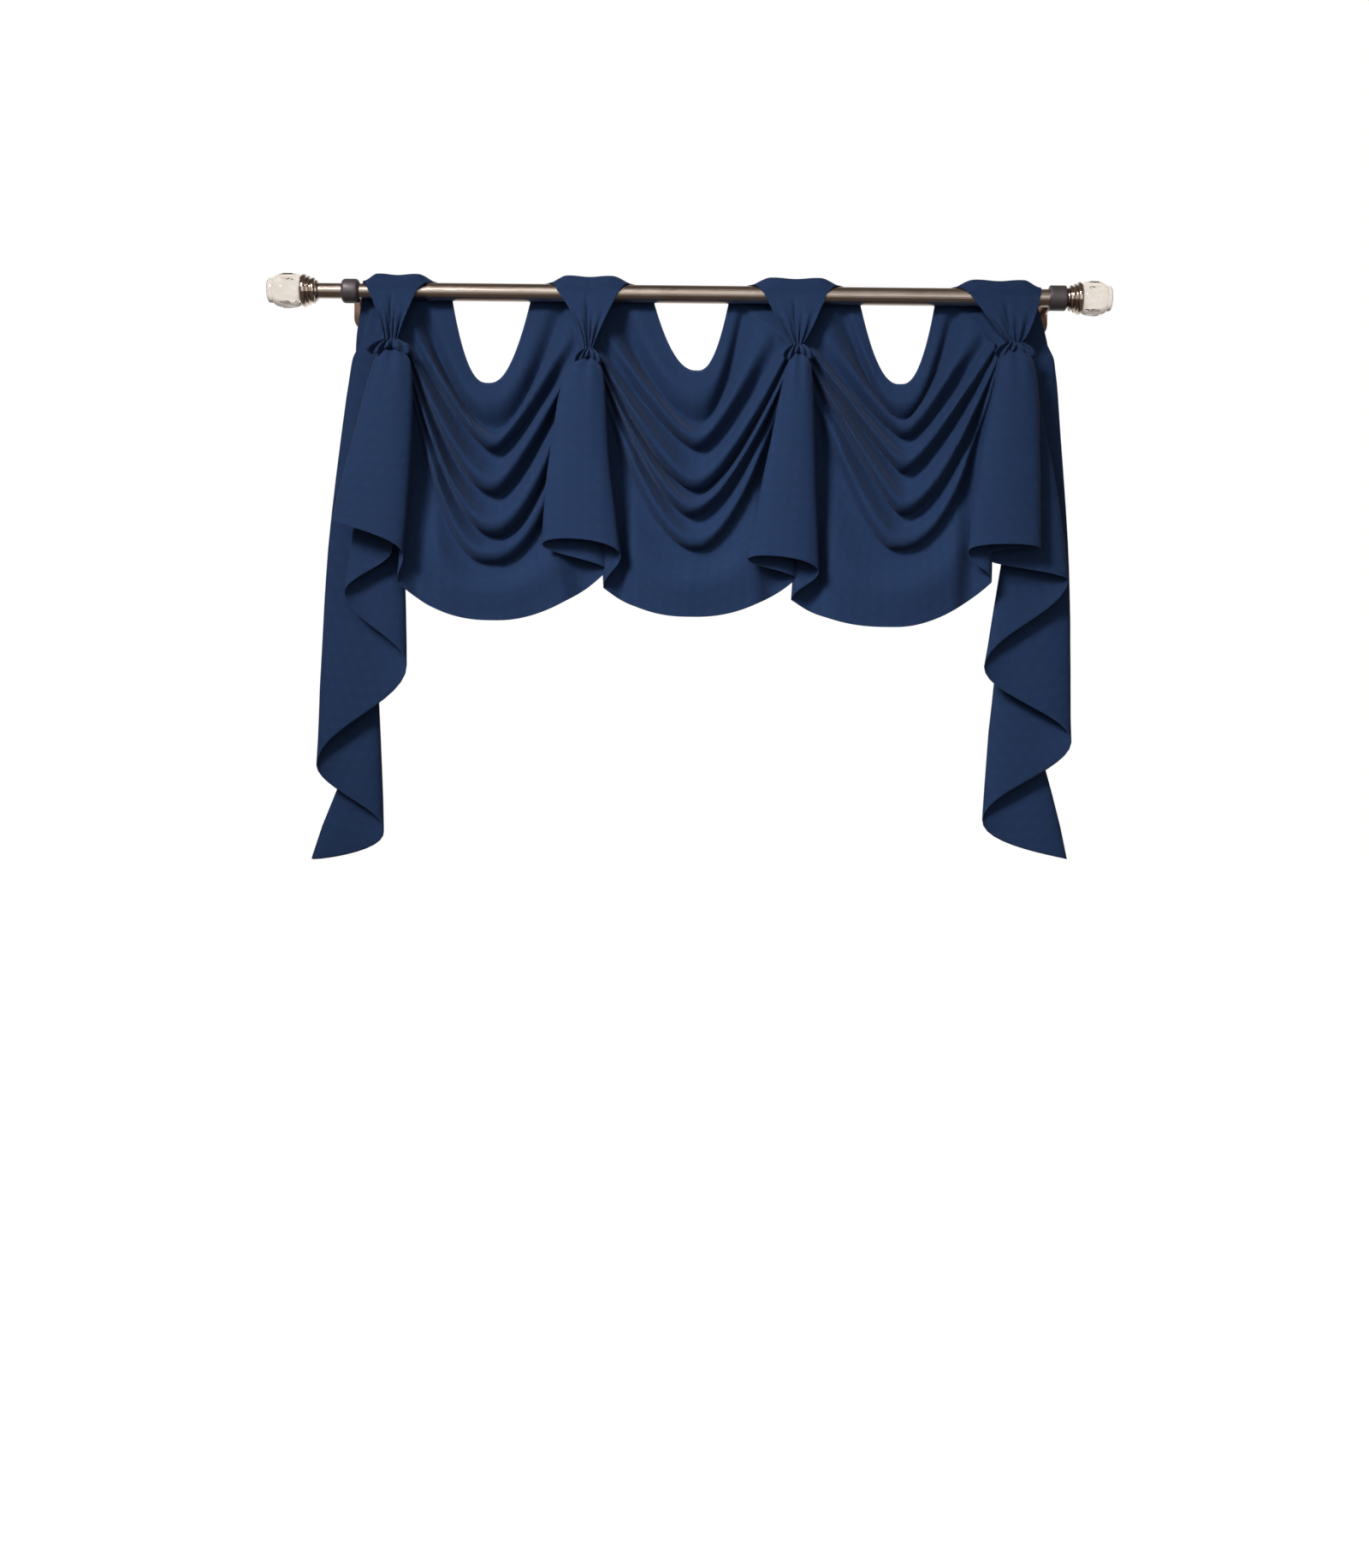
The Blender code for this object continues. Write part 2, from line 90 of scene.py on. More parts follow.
# Gathers: height, how far the front panel's hem rises, the left and right edge of the peak over
# the rod, in front of it and at the gather, and how hard each edge is drawn in. Then the lines
# that hang from it: x at the rod, x and out at the gather, at the knee below it and half way
# down, and x, z and out at the hem
GATHERS = (
    {"z": -60, "arch": 5.0, "top": (-363, -284), "front": (-356, -301), "tip": (-335, -320),
     "close": (1.4, 1.05), "lines": (
        ("seam_r", -303, -313, 16, -310, 23, -309, 33, -316, -326, 34),
        ("front_r", -311, -318, 20, -303, 38, -302, 49, -308, -297, 54),
        ("front_l", -319, -333, 21, -346, 37, -366, 49, -386, -262, 53),
        ("hidden", -326, -336, 15, -331, 27, -326, 36, -322, -290, 39),
        ("fold_a", -334, -343, 8, -350, 17, -362, 23, -375, -338, 24),
        ("fold_b", -342, -348, 3, -340, 7, -316, 9, -309, -415, 7),
        ("fold_c", -350, -367, -2, -377, -3, -401, -6, -411, -527, -11),
        ("fold_d", -358, -362, -7, -357, -12, -349, -22, -337, -599, -29),
        ("edge", -366, -372, -12, -369, -18, -338, -34, -422, -632, -44))},
    {"z": -68, "arch": 10.0, "top": (-156, -66), "front": (-146, -78), "tip": (-115, -106),
     "close": (1.5, 1.1), "lines": (
        ("seam_l", -140, -117, 16, -114, 23, -102, 33, -87, -312, 37),
        ("front_l", -124, -115, 21, -136, 40, -150, 51, -157, -285, 55),
        ("front_r", -104, -104, 21, -93, 39, -85, 50, -72, -296, 54),
        ("seam_r", -88, -102, 16, -100, 23, -97, 29, -91, -330, 32))},
    {"z": -61, "arch": 8.0, "top": (68, 167), "front": (82, 152), "tip": (114, 124),
     "close": (0.8, 0.8), "lines": (
        ("seam_l", 62, 112, 16, 111, 23, 113, 33, 119, -319, 37),
        ("front_l", 104, 114, 21, 106, 39, 85, 51, 66, -299, 55),
        ("front_r", 136, 127, 21, 135, 39, 138, 50, 143, -312, 54),
        ("seam_r", 168, 129, 16, 128, 23, 121, 29, 115, -341, 32))},
    {"z": -56, "arch": 5.0, "top": (294, 390), "front": (311, 388), "tip": (350, 364),
     "close": (0.8, 0.65), "lines": (
        ("seam_l", 298, 339, 16, 338, 23, 334, 33, 333, -320, 34),
        ("front_l", 318, 341, 21, 338, 38, 318, 50, 304, -287, 54),
        ("front_r", 335, 363, 21, 378, 38, 382, 49, 383, -285, 53),
        ("hidden", 345, 363, 15, 362, 27, 344, 36, 324, -293, 40),
        ("fold_a", 355, 371, 8, 380, 17, 403, 23, 419, -316, 24),
        ("fold_b", 364, 374, 3, 370, 7, 354, 9, 330, -410, 7),
        ("fold_c", 373, 400, -2, 408, -3, 424, -6, 431, -493, -11),
        ("fold_d", 381, 387, -7, 379, -12, 354, -22, 335, -580, -29),
        ("edge", 389, 401, -12, 401, -18, 376, -34, 434, -624, -44))},
)
PANEL_BELLY = 9.0
FRONT_SOFT = 0.75
TIP_SAG = 11.0
PLEAT_DEPTH = 2.6
TAB_LIFT = 7.5
TAB_FORWARD = 14.0
TAB_BULGE = 5.0
TAB_GROOVE = 4.5
FRILL_FLARE = 2.3
FRILL_DROP = 14.0
FRILL_FORWARD = 7.0
GROOVE_AT, GROOVE_WIDE = 0.47, 0.05
HEM_EDGE = 0.015

# Wander of the finished cloth: its depth, and how often it changes across and down
WANDERS = ((1.6, 22, 9), (0.4, 70, 40))


def place(x, z, out):
    """Point in metres from millimetres across, up and in front of the rod's axis."""
    return Vector((x * MM, -(ROD_OUT + out) * MM, z * MM))


def smooth(knots, values, at):
    """Cubic curve through values at the knots, with the slope between a knot's neighbours."""
    last = len(knots) - 1
    k = max(i for i in range(last) if knots[i] <= at or i == 0)
    slopes = []
    for i in (k, k + 1):
        low, high = max(i - 1, 0), min(i + 1, last)
        slopes.append((values[high] - values[low]) / (knots[high] - knots[low]))
    step = knots[k + 1] - knots[k]
    f = (at - knots[k]) / step
    return ((2 * f**3 - 3 * f**2 + 1) * values[k] + (f**3 - 2 * f**2 + f) * step * slopes[0]
            + (3 * f**2 - 2 * f**3) * values[k + 1] + (f**3 - f**2) * step * slopes[1])


def ease(value, low, high):
    """0 below low, 1 above high and a soft step between them."""
    part = min(max((value - low) / (high - low), 0.0), 1.0)
    return part * part * (3 - 2 * part)


def hanging_line(gather, row, v):
    """x, z and out on one hanging line of a gather, v of the way from the rod to the hem."""
    _, rod_x, pin_x, pin_out, knee_x, knee_out, mid_x, mid_out, hem_x, hem_z, hem_out = row
    knee_z = gather["z"] - KNEE_DROP
    return (smooth(KNOTS, (rod_x, pin_x, knee_x, mid_x, hem_x), v),
            smooth(KNOTS, (BACK_DROP, gather["z"], knee_z, (knee_z + hem_z) / 2, hem_z), v),
            smooth(KNOTS, (-ROLL_R, pin_out, knee_out, mid_out, hem_out), v))


def end_height(t):
    """Height along the seam where the swag row t starts."""
    k = min(int(t), len(ROWS) - 2)
    return ROWS[k][1] + (ROWS[k + 1][1] - ROWS[k][1]) * (t - k)


def seam_point(gather, row, scoop_x, t):
    """End of the swag row t: on the back of the rod above the first fold, then on the seam."""
    v = end_height(t)
    if v > 0:
        return hanging_line(gather, row, v)
    x, z, out = hanging_line(gather, row, 0)
    return x + (scoop_x - x) * -v, z, out


def relief_at(t, reach):
    """How far row t stands out from the swag: folds round at the gathers, pouched in the middle."""
    k = min(int(t), len(ROWS) - 2)
    f = t - k
    if ROWS[k][0].startswith("crease"):
        f = f ** (1 + POUCH * ease(reach, 0.35, 0.9))
    part = (1 - math.cos(math.pi * f)) / 2
    return ROWS[k][3] + (ROWS[k + 1][3] - ROWS[k][3]) * part


def rounded(away):
    """Distance from the swag's middle, 0 to 1, with a round turn at the middle."""
    return ((away**2 + VEE_ROUND**2) ** 0.5 - VEE_ROUND) / ((1 + VEE_ROUND**2) ** 0.5 - VEE_ROUND)


def swag_grid(swag, left, right):
    """Rows of points over one swag, from its scooped top edge to its hem."""
    scoop, lowest = swag
    left_seam = [row for row in left["lines"] if row[0] == "seam_r"][0]
    grid = []
    for t in swag_rows:
        low_x, low_z, bow_left, bow_right = (
            smooth(row_numbers, [row[i] for row in lowest], t) for i in range(4))
        forward = smooth(row_numbers, [row[2] for row in ROWS], t)
        lip = ROWS[int(t)][4] * math.sin(math.pi * (t - int(t)))
        ends = (seam_point(left, left_seam, scoop[0], t),
                seam_point(right, right["lines"][0], scoop[1], t))
        line = []
        for i in range(SWAG_COLUMNS + 1):
            s = 2 * i / SWAG_COLUMNS
            end, bow, reach = (ends[0], bow_left, s) if s <= 1 else (ends[1], bow_right, 2 - s)
            drop = 1 - rounded(1 - reach) ** bow
            swell = math.sin(math.pi / 2 * reach) ** 0.8
            open_up = FOLD_AT_GATHER + (1 - FOLD_AT_GATHER) * ease(reach, 0.06, 0.42)
            relief = relief_at(t, reach) * ease(reach, 0.0, 0.06) * open_up
            beside = math.sin(math.pi * min(reach / VALLEY_REACH, 1.0)) ** 2
            valley = VALLEY_DEPTH * beside * ease(t, 6.0, 9.0)
            line.append(place(end[0] + (low_x - end[0]) * reach,
                              end[1] + (low_z - end[1]) * drop - lip * ease(reach, 0.1, 0.8),
                              end[2] + (forward - end[2]) * swell + relief - valley))
        grid.append(line)
    return grid


def panel_points(start, end, soft, belly, arch, pleats):
    """Points across one hanging panel, level in the middle and turning round at both folds."""
    points = []
    for i in range(PANEL_COLUMNS + 1):
        u = i / PANEL_COLUMNS
        turned_in = (1 - math.cos(math.pi * u)) / 2
        across = u + (turned_in - u) * soft
        layer = u + math.sin(2 * math.pi * u) / (2 * math.pi)
        rise = 4 * u * (1 - u)
        points.append(place(start[0] + (end[0] - start[0]) * across,
                            start[1] + (end[1] - start[1]) * u + arch * rise,
                            start[2] + (end[2] - start[2]) * layer + belly * rise
                            + pleats * math.cos(6 * math.pi * u) * rise))
    return points


def fan_grid(gather):
    """Rows of points over the folded panels that hang from one gather, seam to seam or edge."""
    grid = []
    lines = gather["lines"]
    for v in fan_heights:
        ends = [hanging_line(gather, row, v) for row in lines]
        line = []
        for k in range(len(lines) - 1):
            front = {lines[k][0], lines[k + 1][0]} == {"front_l", "front_r"}
            behind = lines[k + 1][0] == "hidden"
            soft = FRONT_SOFT if front or behind else 1.0
            belly = PANEL_BELLY * ease(v, 0.1, 0.3) if front else 0
            arch = gather["arch"] * v**4 if front or behind else 0
            pleats = PLEAT_DEPTH * ease(v, 0.1, 0.16) * (1 - ease(v, 0.18, 0.4)) if front else 0
            if lines[k + 1][0] == "edge":
                arch -= TIP_SAG * v**3
            points = panel_points(ends[k], ends[k + 1], soft, belly, arch, pleats)
            line += points if k == 0 else points[1:]
        grid.append(line)
    return grid


def tab_grid(gather, back):
    """Rows of points over one peak: up the rod's back, over it, down to the gather and its frill."""
    top, front, tip = gather["top"], gather["front"], gather["tip"]
    low, high = back[0].x / MM, back[-1].x / MM
    share = [(p.x / MM - low) / (high - low) for p in back]
    grid = [[Vector(p) for p in back]]
    over = 16
    for i in range(over + 1):
        gone = i / over
        angle = math.pi * gone
        line = []
        for p, f in zip(back, share):
            ends = (p.x / MM, top[0] + (top[1] - top[0]) * f, front[0] + (front[1] - front[0]) * f)
            half = min(int(2 * gone), 1)
            hump = ease(f, 0.0, 0.2) * ease(1 - f, 0.0, 0.2) * (1 - 0.1 * math.cos(4 * math.pi * f))
            line.append(place(ends[half] + (ends[half + 1] - ends[half]) * (2 * gone - half),
                              (ROLL_R + TAB_LIFT * hump) * math.sin(angle),
                              -(ROLL_R + 0.25 * TAB_LIFT * hump * math.sin(angle)) * math.cos(angle)))
        grid.append(line)
    down = 20
    for i in range(1, down + 1):
        part = i / down
        line = []
        for f in share:
            wide = front[0] + (front[1] - front[0]) * f
            pinned = tip[0] + (tip[1] - tip[0]) * f
            pleat = PLEAT_DEPTH * ease(part, 0.25, 0.9) * math.cos(8 * math.pi * f)
            groove = -TAB_GROOVE * math.exp(-((f - GROOVE_AT) / GROOVE_WIDE) ** 2) * ease(part, 0.0, 0.5)
            close = gather["close"][0] + (gather["close"][1] - gather["close"][0]) * f
            line.append(place(pinned + (wide - pinned) * (1 - part) ** close,
                              (gather["z"] + 1) * part,
                              ROLL_R + TAB_FORWARD * part + TAB_BULGE * math.sin(math.pi * part)
                              + pleat + groove))
        grid.append(line)
    frill = 7
    middle = (tip[0] + tip[1]) / 2
    for i in range(1, frill + 1):
        part = i / frill
        line = []
        for f in share:
            pinned = tip[0] + (tip[1] - tip[0]) * f
            flare = 1 + FRILL_FLARE * math.sin(math.pi / 2 * part)
            pleat = PLEAT_DEPTH * (1.2 + 0.5 * math.sin(7 * f)) * math.cos((8 + part) * math.pi * f)
            line.append(place(middle + (pinned - middle) * flare,
                              gather["z"] + 1 - (FRILL_DROP + 4 * math.sin(9 * f)) * part,
                              ROLL_R + TAB_FORWARD + 4 * math.sin(math.pi * part)
                              + FRILL_FORWARD * part + pleat))
        grid.append(line)
    return grid


row_numbers = range(len(ROWS))
swag_rows = [i / ROWS_PER_FOLD for i in range((len(ROWS) - 1) * ROWS_PER_FOLD + 1)]
swag_rows.insert(-1, swag_rows[-1] - HEM_EDGE)
fan_heights = [end_height(t) for t in swag_rows if end_height(t) >= 0]

sheet_mesh = bmesh.new()
uv_layer = sheet_mesh.loops.layers.uv.new("weave")
hem_layer = sheet_mesh.verts.layers.float.new("hem")


def add_grid(grid, hem_rows):
    """Quads over one grid of points, with the weave laid along its rows in metres."""
    rows = []
    downs = [0.0] * len(grid[0])
    marks = []
    for j, line in enumerate(grid):
        verts = [sheet_mesh.verts.new(p) for p in line]
        for vert in verts:
            vert[hem_layer] = 1.0 if j in hem_rows else 0.0
        if j:
            downs = [d + (p - q).length for d, p, q in zip(downs, line, grid[j - 1])]
        along = [0.0]
        for p, q in zip(line, line[1:]):
            along.append(along[-1] + (q - p).length)
        middle = along[len(along) // 2]
        marks.append([(a - middle, d) for a, d in zip(along, downs)])
        rows.append(verts)
    for j in range(len(rows) - 1):
        for i in range(len(rows[j]) - 1):
            corners = ((j, i), (j, i + 1), (j + 1, i + 1), (j + 1, i))
            face = sheet_mesh.faces.new([rows[a][b] for a, b in corners])
            for loop, (a, b) in zip(face.loops, corners):
                loop[uv_layer].uv = marks[a][b]


tops = []
for gather in GATHERS:
    fan = fan_grid(gather)
    add_grid(fan, (len(fan) - 1,))
    tops.append(list(fan[0]))
for k, swag in enumerate(SWAGS):
    grid = swag_grid(swag, GATHERS[k], GATHERS[k + 1])
    add_grid(grid, (0, len(grid) - 1))
    on_rod = [line for line, t in zip(grid, swag_rows) if end_height(t) < 0]
    tops[k] += [line[0] for line in on_rod]
    tops[k + 1] += [line[-1] for line in on_rod]
for gather, top in zip(GATHERS, tops):
    add_grid(tab_grid(gather, sorted(top, key=lambda p: p.x)), ())

bmesh.ops.remove_doubles(sheet_mesh, verts=sheet_mesh.verts, dist=0.00003)
bmesh.ops.recalc_face_normals(sheet_mesh, faces=sheet_mesh.faces)
sheet_mesh.normal_update()
for vert in sheet_mesh.verts:
    free = ease(-vert.co.z, 0.015, 0.09)
    wander = 0.0
    for depth, across, down in WANDERS:
        spot = Vector((vert.co.x * across, vert.co.y * across, vert.co.z * down))
        wander += depth * MM * noise.noise(spot)
    vert.co += vert.normal * wander * free
valance_data = bpy.data.meshes.new("valance")
sheet_mesh.to_mesh(valance_data)
sheet_mesh.free()
valance_data.shade_smooth()
valance = bpy.data.objects.new("valance", valance_data)
bpy.context.scene.collection.objects.link(valance)
thick = valance.modifiers.new("thickness", "SOLIDIFY")
thick.thickness = CLOTH_THICK * MM
thick.offset = 0.0


class Thread:
    """One value in a finish: a shader socket that adds and multiplies like a plain number."""

    def __init__(self, tree, socket=None):
        self.tree = tree
        self.socket = socket

    def node(self, kind, settings=None, values=None, result=0):
        """Any other node: its settings first, then the values or links of its sockets."""
        made = self.tree.nodes.new("ShaderNode" + kind)
        for name, value in (settings or {}).items():
            if name == "stops":
                while len(made.color_ramp.elements) < len(value):
                    made.color_ramp.elements.new(1.0)
                for element, (spot, colour) in zip(made.color_ramp.elements, value):
                    element.position, element.color = spot, colour
            else:
                setattr(made, name, value)
        for name, value in (values or {}).items():
            if isinstance(value, Thread):
                self.tree.links.new(value.socket, made.inputs[name])
            else:
                made.inputs[name].default_value = value
        return Thread(self.tree, made.outputs[result])

    def maths(self, operation, *values):
        """A Math node on this value and others."""
        return self.node("Math", {"operation": operation}, dict(enumerate(values)))

    def __add__(self, other):
        return self.maths("ADD", self, other)

    def __mul__(self, other):
        return self.maths("MULTIPLY", self, other)

    __radd__ = __add__
    __rmul__ = __mul__

    def blend(self, low, high):
        """A colour between two, this value of the way from the low one to the high one."""
        return self.node("Mix", {"data_type": "RGBA"}, {0: self, 6: low, 7: high}, 2)


def finish_of(name, settings):
    """New material, its start thread and its Principled shader, with constant sockets set."""
    material = bpy.data.materials.new(name)
    material.use_nodes = True
    shader = material.node_tree.nodes["Principled BSDF"]
    for socket, value in settings.items():
        shader.inputs[socket].default_value = value
    return material, Thread(material.node_tree), shader


def feed(shader, socket, value):
    """Links a thread to one of the shader's sockets."""
    value.tree.links.new(value.socket, shader.inputs[socket])


navy, start, shader = finish_of("navy_cloth", {"Sheen Weight": 0.06, "Sheen Roughness": 0.5,
                                               "Sheen Tint": (0.55, 0.65, 1.0, 1.0),
                                               "Specular IOR Level": 0.2})
NAVY_DEEP = (0.006, 0.0195, 0.06, 1.0)
NAVY = (0.0112, 0.0318, 0.092, 1.0)
# Painted highlight: a paler navy for the thin line of light that the rolled hems and top edges catch
HEM_PAINTED_HIGHLIGHT = (0.030, 0.055, 0.13, 1.0)
PUCKERS_PER_METRE = 70.0
uv = start.node("UVMap", {"uv_map": "weave"})
ripples = []
for direction in ("X", "Y"):
    ripples.append(start.node("TexWave", {"bands_direction": direction, "wave_profile": "SIN"},
                              {"Vector": uv, "Scale": PUCKERS_PER_METRE * math.pi / 10,
                               "Distortion": 0.6, "Detail": 1.0}, 1))
pucker = ripples[0] * ripples[1]
slub = start.node("TexNoise", None, {"Vector": start.node("Mapping", None, {
    "Vector": uv, "Scale": (900.0, 60.0, 1.0)}), "Scale": 1.0, "Detail": 2.0})
mottle = start.node("TexNoise", None, {"Vector": uv, "Scale": 45.0, "Detail": 3.0})
tone = slub * 0.3 + mottle * 0.45 + pucker * 0.25
body = tone.blend(NAVY_DEEP, NAVY)
# The hem rows are blended half way to the painted highlight, which paints light along the edges
hem = start.node("Attribute", {"attribute_name": "hem"}, None, 2)
edge = hem * 0.5
feed(shader, "Base Color", edge.blend(body, HEM_PAINTED_HIGHLIGHT))
feed(shader, "Roughness", 0.78 + mottle * 0.14)
feed(shader, "Normal", start.node("Bump", None, {"Strength": 0.35, "Distance": 0.0004,
                                                 "Height": pucker * 0.6 + slub * 0.6}))
valance_data.materials.append(navy)

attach(valance, "root")
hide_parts("valance_cloth")

# The rod is two steel tubes plated in warm brushed nickel, the left one sliding in the right
# one. Fine scratches run round and along it from the brushing, and dust dulls it unevenly.
nickel, start, shader = finish_of("brushed_nickel", {"Metallic": 1.0, "Anisotropic": 0.35})
NICKEL_DARK = (0.34, 0.265, 0.21, 1.0)
NICKEL = (0.60, 0.53, 0.47, 1.0)
spot = start.node("TexCoord", None, None, 3)
brushed = start.node("TexNoise", None, {"Vector": start.node("Mapping", None, {
    "Vector": spot, "Scale": (40.0, 2400.0, 2400.0)}), "Scale": 1.0, "Detail": 3.0})
dulled = start.node("TexNoise", None, {"Vector": spot, "Scale": 25.0, "Detail": 4.0})
feed(shader, "Base Color", (brushed * 0.5 + dulled * 0.5).blend(NICKEL_DARK, NICKEL))
feed(shader, "Roughness", 0.2 + brushed * 0.16 + dulled * 0.06)
feed(shader, "Normal", start.node("Bump", None, {"Strength": 0.15, "Distance": 0.0002,
                                                 "Height": brushed}))
for name in ("rod_tube", "rod_slider"):
    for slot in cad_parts[name].material_slots:
        slot.material = nickel

# Each finial is a set of stepped rings, polished and nickel plated, which plugs into the end of
# its tube. The rings are turned in one piece, with rounded lips that catch the light. A finial is
# given by its side, the end of its tube, the way it points and how far it is shortened, and the
# rings by distance from that end and radius.
SLIDER_END, TUBE_END = -412.0, 418.0
FINIALS = (("left", SLIDER_END, -1, 1.0), ("right", TUBE_END, 1, 50.0 / 56.0))
RINGS = ((0.4, 0.0), (0.4, 10.6), (1.0, 11.2), (2.6, 11.5), (3.2, 12.6), (3.6, 13.7), (4.4, 14.2),
         (6.2, 14.2), (7.0, 13.6), (7.5, 12.9), (8.1, 13.6), (8.7, 15.2), (9.5, 15.9), (10.6, 15.9),
         (11.3, 15.3), (11.8, 14.7), (12.4, 15.4), (13.0, 17.0), (14.0, 17.7), (16.6, 17.8),
         (17.8, 17.2), (18.8, 16.4), (19.0, 15.6), (19.0, 0.0))
TURN_STEPS = 72


def turned(name, profile, facets, finish, rounding):
    """Piece turned about the rod's axis from x and radius, with flats cut where facets ask."""
    mesh = bmesh.new()
    rows = []
    for x, radius in profile:
        if radius == 0:
            rows.append([mesh.verts.new(place(x, 0, 0))])
            continue
        line = []
        for i in range(TURN_STEPS):
            angle = 2 * math.pi * i / TURN_STEPS
            r = radius * facets(x, angle)
            line.append(mesh.verts.new(place(x, r * math.sin(angle), r * math.cos(angle))))
        rows.append(line)
    for near, far in zip(rows, rows[1:]):
        for i in range(TURN_STEPS):
            j = (i + 1) % TURN_STEPS
            corners = [near[i % len(near)], near[j % len(near)], far[j % len(far)], far[i % len(far)]]
            mesh.faces.new(list(dict.fromkeys(corners)))
    bmesh.ops.remove_doubles(mesh, verts=mesh.verts, dist=0.00001)
    bmesh.ops.recalc_face_normals(mesh, faces=mesh.faces)
    data = bpy.data.meshes.new(name)
    mesh.to_mesh(data)
    mesh.free()
    data.shade_smooth()
    data.set_sharp_from_angle(angle=math.radians(rounding))
    data.materials.append(finish)
    thing = bpy.data.objects.new(name, data)
    bpy.context.scene.collection.objects.link(thing)
    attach(thing, "root")
    return thing


polished, start, shader = finish_of("polished_nickel", {"Metallic": 1.0})
spot = start.node("TexCoord", None, None, 3)
haze = start.node("TexNoise", None, {"Vector": spot, "Scale": 180.0, "Detail": 3.0})
lathe = start.node("TexNoise", None, {"Vector": start.node("Mapping", None, {
    "Vector": spot, "Scale": (3000.0, 60.0, 60.0)}), "Scale": 1.0, "Detail": 2.0})
feed(shader, "Base Color", haze.blend((0.46, 0.37, 0.30, 1.0), (0.78, 0.71, 0.64, 1.0)))
feed(shader, "Roughness", 0.07 + haze * 0.12)
feed(shader, "Normal", start.node("Bump", None, {"Strength": 0.08, "Distance": 0.0002,
                                                 "Height": lathe}))
for side, end, sign, shrink in FINIALS:
    profile = [(end + sign * x * shrink, r) for x, r in RINGS]
    rings = turned(f"rings_{side}", profile, lambda x, angle: 1.0, polished, 40)
    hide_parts(f"finial_rings_{side}")

# The glass barrel on each set of rings is pressed clear glass, slightly warm, with flats round
# its belly and a bevelled ring at its outer end. It is glued to the rings. Its outline is given
# like theirs, and each flat takes a small share off the radius.
GLASS = ((19.4, 0.0), (19.4, 15.8), (20.4, 16.9), (22.0, 17.9), (25.0, 18.9), (29.0, 19.5),
         (33.0, 19.7), (37.0, 19.5), (41.0, 18.8), (45.0, 17.5), (48.0, 15.9), (49.2, 14.9),
         (49.6, 14.2), (50.6, 14.0), (53.6, 13.9), (54.8, 13.3), (55.6, 12.2), (55.9, 9.0), (55.9, 0.0))
FLATS = 12
FLAT_DEPTH = 0.045
FLAT_REACH = 15.0
BELLY_AT = 33.0
clear, start, shader = finish_of("pressed_glass", {"Transmission Weight": 1.0, "IOR": 1.5,
                                                   "Specular IOR Level": 0.6})
spot = start.node("TexCoord", None, None, 3)
ripple = start.node("TexNoise", None, {"Vector": spot, "Scale": 90.0, "Detail": 2.0})
feed(shader, "Base Color", ripple.blend((0.70, 0.62, 0.54, 1.0), (0.92, 0.87, 0.80, 1.0)))
feed(shader, "Roughness", 0.02 + ripple * 0.04)
feed(shader, "Normal", start.node("Bump", None, {"Strength": 0.12, "Distance": 0.0006,
                                                 "Height": ripple}))
for side, end, sign, shrink in FINIALS:
    belly_x = end + sign * BELLY_AT * shrink

    def flats(x, angle, middle=belly_x, half=FLAT_REACH * shrink):
        """Shrinks the radius on flats round the belly, fading out towards both ends."""
        depth = max(0.0, 1 - ((x - middle) / half) ** 2)
        off = (angle * FLATS / (2 * math.pi)) % 1 - 0.5
        return 1 - FLAT_DEPTH * depth * (1 - (2 * off) ** 2)

    profile = [(end + sign * x * shrink, r) for x, r in GLASS]
    barrel = turned(f"glass_{side}", profile, flats, clear, 30)
    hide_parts(f"finial_glass_{side}")

# Each bracket is a dark satin cup round the rod, on a bronze arm from an oval wall plate. The
# cup's lips are rounded, the left one's most of all, and its paint is slightly rough and worn. A
# cup is given by its side, its left and right end, its bore, its outer radius and its lip's.
CUPS = (("left", -386.0, -366.5, 8.7, 13.3, 4.5), ("right", 399.0, 417.5, 10.05, 13.85, 1.6))
LIP_STEPS = 6
cup, start, shader = finish_of("cup_paint", {"Metallic": 0.55})
spot = start.node("TexCoord", None, None, 3)
grain = start.node("TexNoise", None, {"Vector": spot, "Scale": 600.0, "Detail": 3.0})
wear = start.node("TexNoise", None, {"Vector": spot, "Scale": 60.0, "Detail": 4.0})
feed(shader, "Base Color", wear.blend((0.075, 0.062, 0.066, 1.0), (0.15, 0.13, 0.14, 1.0)))
feed(shader, "Roughness", 0.4 + grain * 0.16)
feed(shader, "Normal", start.node("Bump", None, {"Strength": 0.2, "Distance": 0.0002,
                                                 "Height": grain}))
for side, left, right, bore, outside, lip in CUPS:
    profile = [(left, bore)]
    for corner, first in ((left + lip, math.pi), (right - lip, math.pi / 2)):
        for i in range(LIP_STEPS + 1):
            angle = first - math.pi / 2 * i / LIP_STEPS
            profile.append((corner + lip * math.cos(angle), outside - lip + lip * math.sin(angle)))
    sleeve = turned(f"cup_{side}", profile + [(right, bore), (left, bore)], lambda x, angle: 1.0, cup, 40)
    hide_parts(f"bracket_cup_{side}")
bronze, start, shader = finish_of("bronze_plate", {"Metallic": 1.0})
spot = start.node("TexCoord", None, None, 3)
wear = start.node("TexNoise", None, {"Vector": spot, "Scale": 80.0, "Detail": 4.0})
feed(shader, "Base Color", wear.blend((0.12, 0.075, 0.055, 1.0), (0.32, 0.21, 0.15, 1.0)))
feed(shader, "Roughness", 0.12 + wear * 0.2)
for side in ("left", "right"):
    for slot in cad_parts[f"bracket_plate_{side}"].material_slots:
        slot.material = bronze

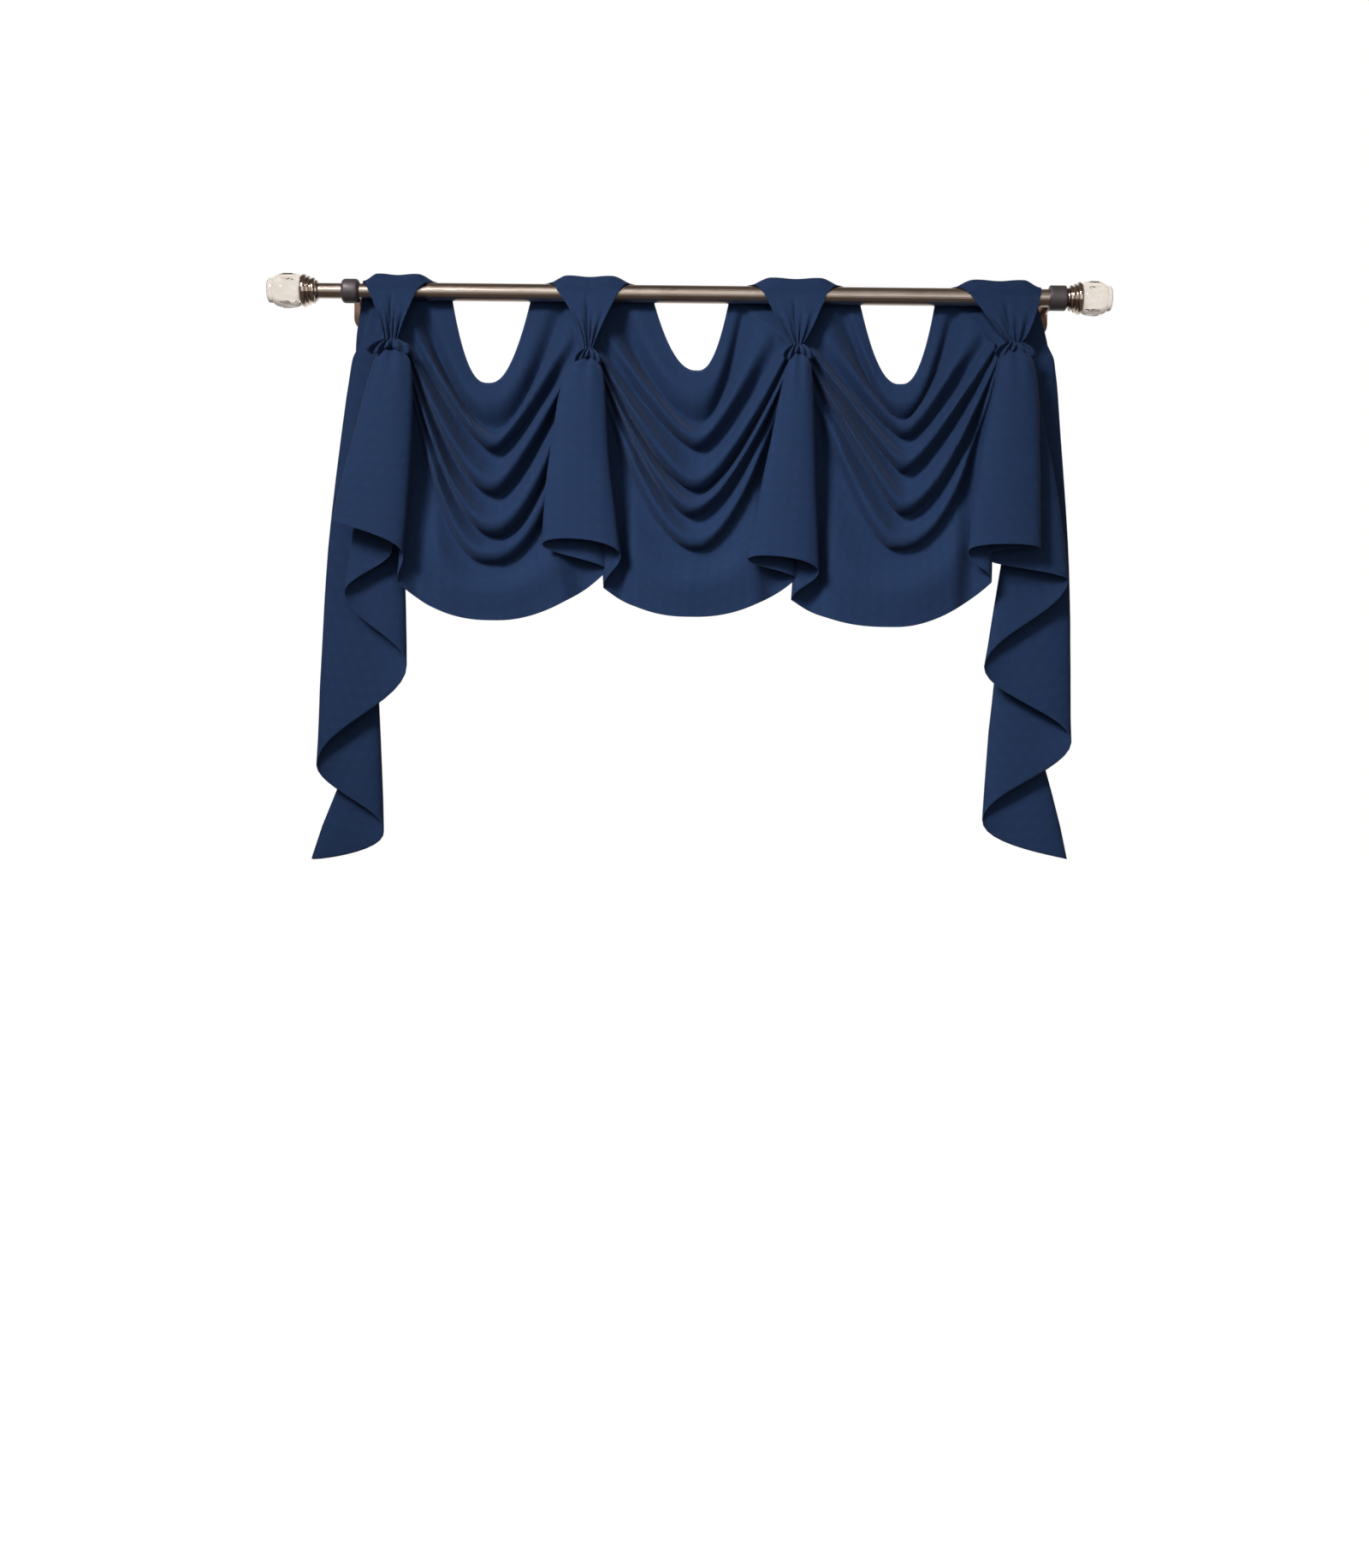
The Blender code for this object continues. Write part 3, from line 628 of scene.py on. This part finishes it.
# The floor is plain and pale, well below the tails, and the light is that of a white studio: a
# broad soft lamp in front, a smaller one over the viewer's left shoulder, which shades the folds,
# a strip that draws the highlight along the rod, and a wash on the floor.
FLOOR_Z = -1.5
floor_mesh = bmesh.new()
bmesh.ops.create_circle(floor_mesh, cap_ends=True, segments=64, radius=14.0)
floor_data = bpy.data.meshes.new("floor")
floor_mesh.to_mesh(floor_data)
floor_mesh.free()
floor = bpy.data.objects.new("floor", floor_data)
floor.location = (0, 0, FLOOR_Z)
bpy.context.scene.collection.objects.link(floor)
pale, start, shader = finish_of("pale_floor", {"Base Color": (0.9, 0.9, 0.9, 1.0), "Roughness": 0.9})
floor_data.materials.append(pale)

bpy.context.scene.view_settings.view_transform = "Standard"
world = bpy.data.worlds.new("studio")
bpy.context.scene.world = world
world.use_nodes = True
surround = Thread(world.node_tree)
towards = surround.node("TexCoord", None, None, 0)
depth = surround.node("SeparateXYZ", None, {"Vector": towards}, 1)
shade = surround.node("ValToRGB", {"stops": ((0.45, (0.11, 0.085, 0.07, 1.0)),
                                             (0.85, (1.0, 1.0, 1.0, 1.0)))}, {"Fac": depth})
world.node_tree.links.new(shade.socket, world.node_tree.nodes["Background"].inputs["Color"])


def lamp(name, spot, aim, size, power, beam):
    """Soft lamp of a width and height at a spot in metres, with a beam of so many degrees."""
    light = bpy.data.lights.new(name, "AREA")
    light.shape = "RECTANGLE"
    light.size, light.size_y = size
    light.energy = power
    light.spread = math.radians(beam)
    thing = bpy.data.objects.new(name, light)
    bpy.context.scene.collection.objects.link(thing)
    thing.location = spot
    thing.rotation_euler = (Vector(aim) - Vector(spot)).to_track_quat("-Z", "Y").to_euler()


lamp("front", (0.4, -2.6, 0.0), (0.1, -0.1, -0.35), (4.0, 1.6), 18.5, 180.0)
lamp("left", (-1.4, -2.2, 1.2), (0.1, -0.1, -0.45), (0.9, 0.9), 5.6, 34.0)
lamp("strip", (0.0, -2.3, 1.5), (0.0, -0.1, 0.0), (3.4, 0.35), 3.4, 180.0)
lamp("floor_wash", (0.0, 8.0, FLOOR_Z + 0.8), (0.0, 8.0, FLOOR_Z), (24.0, 24.0), 1760.0, 180.0)
floor.visible_glossy = False
floor.visible_diffuse = False

# The camera stands 2.2 m in front of the rod and looks level at the photograph's middle. It is
# rolled by the rod's slight slope in the photograph.
VIEW_FROM = 2200.0
MM_PER_PIXEL = 0.95
PICTURE_HEIGHT = 1832
SENSOR = 36.0
CAMERA_X, CAMERA_Z = -0.2, -543.4
ROLL = math.radians(-0.585)
camera_data = bpy.data.cameras.new("camera")
camera_data.sensor_fit = "VERTICAL"
camera_data.sensor_width = SENSOR
camera_data.sensor_height = SENSOR
camera_data.lens = SENSOR * VIEW_FROM / (PICTURE_HEIGHT * MM_PER_PIXEL)
camera = bpy.data.objects.new("camera", camera_data)
camera.location = place(CAMERA_X, CAMERA_Z, VIEW_FROM)
camera.rotation_euler = (math.pi / 2, ROLL, 0)
bpy.context.scene.collection.objects.link(camera)
bpy.context.scene.camera = camera
